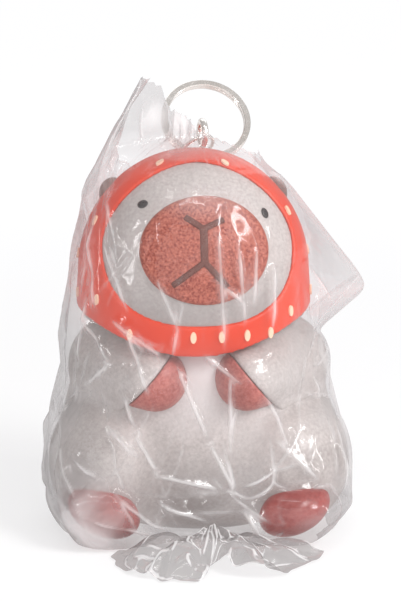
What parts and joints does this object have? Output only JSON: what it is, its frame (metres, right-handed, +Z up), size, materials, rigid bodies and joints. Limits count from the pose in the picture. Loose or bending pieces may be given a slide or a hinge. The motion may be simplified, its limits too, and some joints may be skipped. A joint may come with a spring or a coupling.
{
  "type": "animal figure keychain",
  "caption": "Soft moulded-foam sitting animal figure in a seeded berry hood, hung from a screw eye, jump ring and split key ring, in a loose clear film bag.",
  "frame": {"origin": "centre of the flat base the figure sits on", "axes": "+Z up, the figure looks along -Y, +X to the right as seen from its front"},
  "size_m": [0.0976, 0.095, 0.1191],
  "materials": {
    "foam_grey": "satin, pearly",
    "muzzle_brown": "satin, speckled",
    "mouth_brown": "matt",
    "eye_dark": "gloss",
    "hood_coral": "gloss",
    "seed_cream": "satin",
    "ear_brown": "satin",
    "paw_pink": "satin",
    "foot_coral": "gloss",
    "plated_steel": "bright plated",
    "clear_film": "clear, crinkled"
  },
  "bodies": {
    "figure": {"torso": "foam_grey", "head": "foam_grey", "muzzle": "muzzle_brown", "nose_mouth": "mouth_brown", "eye_left": "eye_dark", "eye_right": "eye_dark", "hood": "hood_coral", "hood_seeds": "seed_cream", "ear_left": "ear_brown", "ear_right": "ear_brown", "arm_left": "foam_grey", "arm_right": "foam_grey", "paw_left": "paw_pink", "paw_right": "paw_pink", "foot_left": "foot_coral", "foot_right": "foot_coral", "screw_eye": "plated_steel"},
    "jump_ring": {"jump_ring": "plated_steel"},
    "split_ring": {"split_ring": "plated_steel"},
    "bag": {"bag_front": "clear_film", "bag_back": "clear_film", "bag_seam_left": "clear_film", "bag_seam_right": "clear_film", "bag_mouth": "clear_film"}
  },
  "joints": [
    {"name": "jump_ring_swing", "type": "hinge", "parent": "figure", "child": "jump_ring", "pos_m": [0.00115, 0.00224, 0.10581], "axis": [0.9781, 0.2079, 0], "range_deg": [0, 75]},
    {"name": "split_ring_swing", "type": "hinge", "parent": "jump_ring", "child": "split_ring", "pos_m": [-0.00079, 0.00724, 0.10028], "axis": [0.9425, -0.0861, -0.3228], "range_deg": [-25, 30]},
    {"name": "bag_pull_off", "type": "slide", "parent": "figure", "child": "bag", "axis": [0, 0, 1], "range_m": [0, 0.15]}
  ]
}
